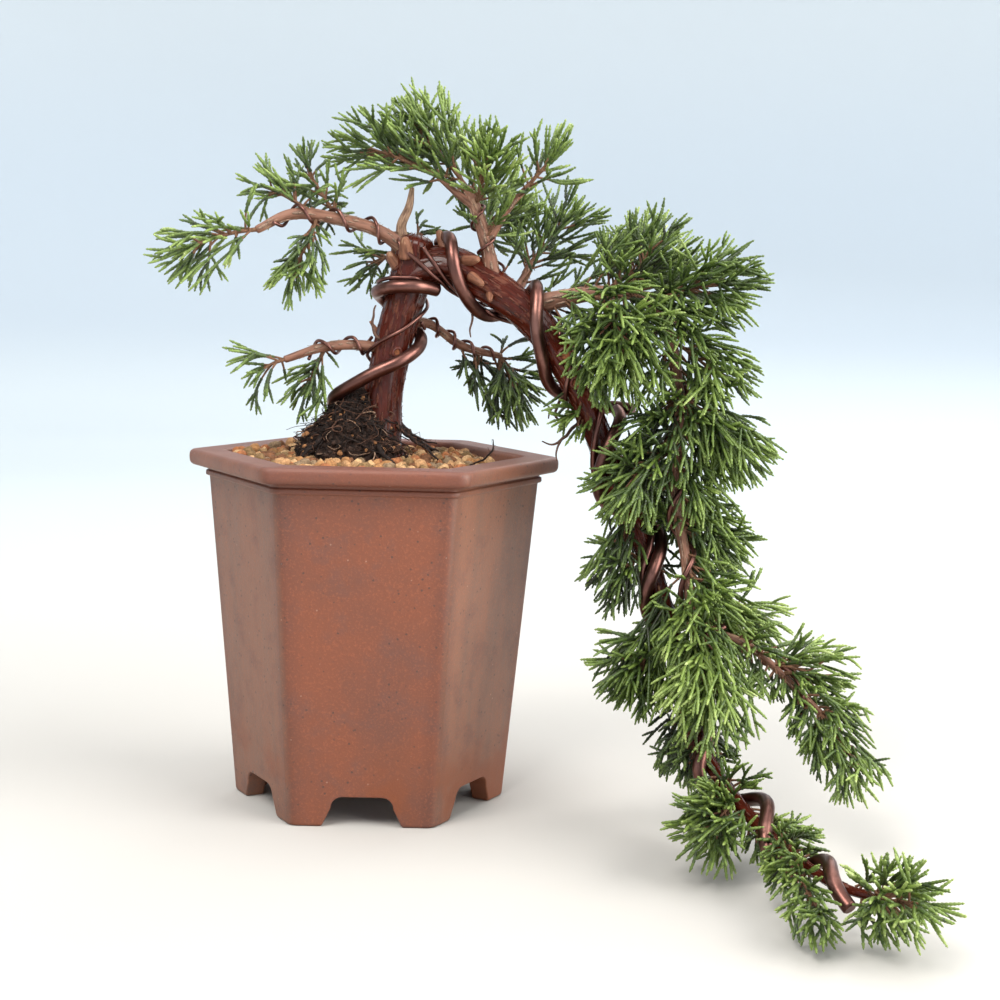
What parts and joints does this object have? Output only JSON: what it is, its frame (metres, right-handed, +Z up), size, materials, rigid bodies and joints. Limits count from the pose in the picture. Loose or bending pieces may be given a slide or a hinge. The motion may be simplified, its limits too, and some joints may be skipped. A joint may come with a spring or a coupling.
{
  "type": "cascade juniper bonsai",
  "caption": "Cascade juniper bonsai with wired trunk and boughs, masses of scale foliage and a root mound, built together with its tall hexagonal clay pot.",
  "frame": {"origin": "middle of the whole plant's box, on the surface that the pot's feet stand on", "axes": "+Z up, the plant's front faces -Y, and the cascade falls over the pot's rim on the +X side and runs forward towards -Y"},
  "size_m": [0.2788, 0.2593, 0.2826],
  "materials": {
    "pot_clay": "satin",
    "soil_granules": "matte",
    "root_mound": "matte",
    "juniper_bark": "satin",
    "bare_wood": "matte",
    "anodised_wire": "satin",
    "juniper_foliage": "matte"
  },
  "bodies": {
    "root": {"arm": "juniper_bark", "arm_sprig_foliage": "juniper_foliage", "back_high_bough": "juniper_bark", "back_high_foliage": "juniper_foliage", "back_left_foliage": "juniper_foliage", "crown_back_foliage": "juniper_foliage", "crown_bough": "juniper_bark", "crown_left_foliage": "juniper_foliage", "crown_left_twig": "juniper_bark", "crown_middle_foliage": "juniper_foliage", "crown_right_foliage": "juniper_foliage", "crown_right_twig": "juniper_bark", "crown_top_foliage": "juniper_foliage", "fall": "juniper_bark", "fall_back_foliage": "juniper_foliage", "fall_left_foliage": "juniper_foliage", "fall_left_low_foliage": "juniper_foliage", "fall_right_foliage": "juniper_foliage", "fall_right_low_foliage": "juniper_foliage", "inner_bough": "juniper_bark", "inner_foliage": "juniper_foliage", "jin": "bare_wood", "left_back_crest_foliage": "juniper_foliage", "left_crest_foliage": "juniper_foliage", "left_high_bough": "juniper_bark", "left_low_bough": "juniper_bark", "left_low_tip_foliage": "juniper_foliage", "left_low_under_foliage": "juniper_foliage", "left_pendant_foliage": "juniper_foliage", "left_tip_foliage": "juniper_foliage", "low_back_foliage": "juniper_foliage", "middle_front_foliage": "juniper_foliage", "middle_left_foliage": "juniper_foliage", "middle_right_foliage": "juniper_foliage", "pot": "pot_clay", "right_back_foliage": "juniper_foliage", "right_bough": "juniper_bark", "right_far_foliage": "juniper_foliage", "right_front_foliage": "juniper_foliage", "right_middle_foliage": "juniper_foliage", "right_top_foliage": "juniper_foliage", "root_mound": "root_mound", "second_fall": "juniper_bark", "shoulder": "juniper_bark", "side_branch": "juniper_bark", "side_end_foliage": "juniper_foliage", "side_top_foliage": "juniper_foliage", "soil": "soil_granules", "tail": "juniper_bark", "tail_end_foliage": "juniper_foliage", "tail_left_foliage": "juniper_foliage", "tail_right_foliage": "juniper_foliage", "tail_under_foliage": "juniper_foliage", "top_sprig_foliage": "juniper_foliage", "trunk": "juniper_bark", "wire_arm": "anodised_wire", "wire_second": "anodised_wire", "wire_shoulder": "anodised_wire", "wire_tail": "anodised_wire", "wire_trunk": "anodised_wire"}
  },
  "joints": []
}
